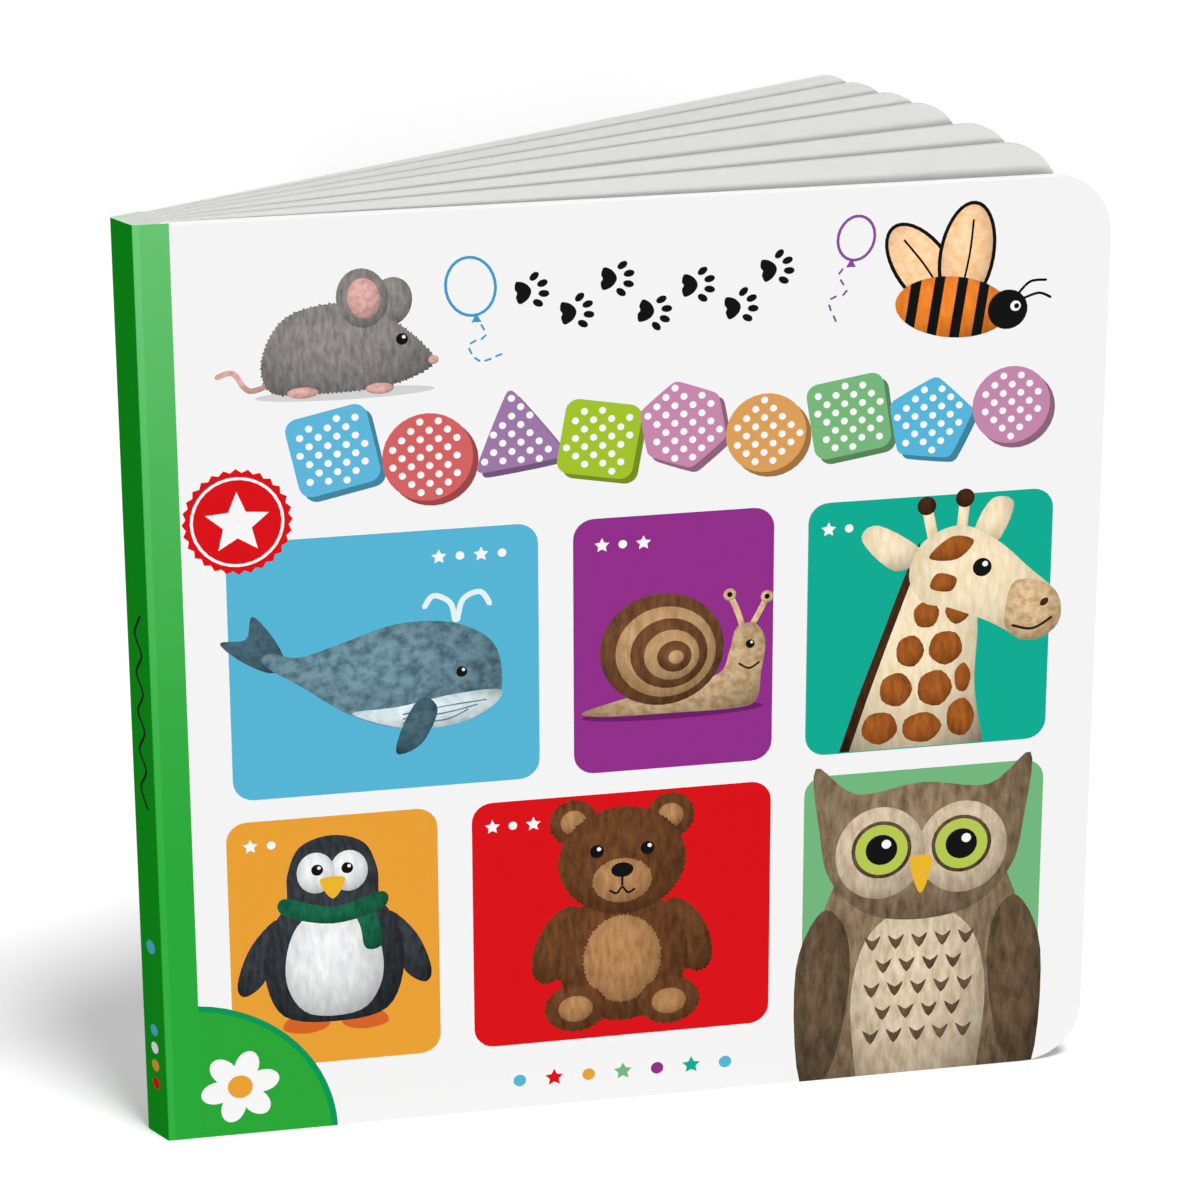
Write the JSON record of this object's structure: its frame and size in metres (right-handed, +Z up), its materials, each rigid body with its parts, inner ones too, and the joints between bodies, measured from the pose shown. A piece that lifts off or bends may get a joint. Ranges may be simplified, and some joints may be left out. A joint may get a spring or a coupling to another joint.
{
  "type": "board book",
  "caption": "Square children's board book with thick rounded leaves, standing upright on its foot and fanned open, with hinged front and back covers on a narrow spine.",
  "frame": {"origin": "foot of the spine, half way across it, on the inner face of the spine panel and in the plane that the book stands on", "axes": "+Z up along the spine, +X from the spine to the fore edges of the closed book, +Y from the front cover to the back cover"},
  "size_m": [0.1655, 0.0842, 0.165],
  "materials": {
    "printed_cover": "white board with a glossy printed laminate in bright colours",
    "spine_wrap": "glossy green printed laminate",
    "page_board": "white coated board with bare cut edges"
  },
  "bodies": {
    "book_block": {"spine": "spine_wrap", "page_block": "page_board"},
    "front_cover": {"front_cover": "printed_cover"},
    "back_cover": {"back_cover": "printed_cover"}
  },
  "joints": [
    {"name": "front_cover_hinge", "type": "hinge", "parent": "book_block", "child": "front_cover", "pos_m": [0, -0.00291, 0], "axis": [0, 0, -1], "range_deg": [-7.8, 152]},
    {"name": "back_cover_hinge", "type": "hinge", "parent": "book_block", "child": "back_cover", "pos_m": [0, 0.00291, 0], "axis": [0, 0, 1], "range_deg": [-2.5, 177]}
  ]
}
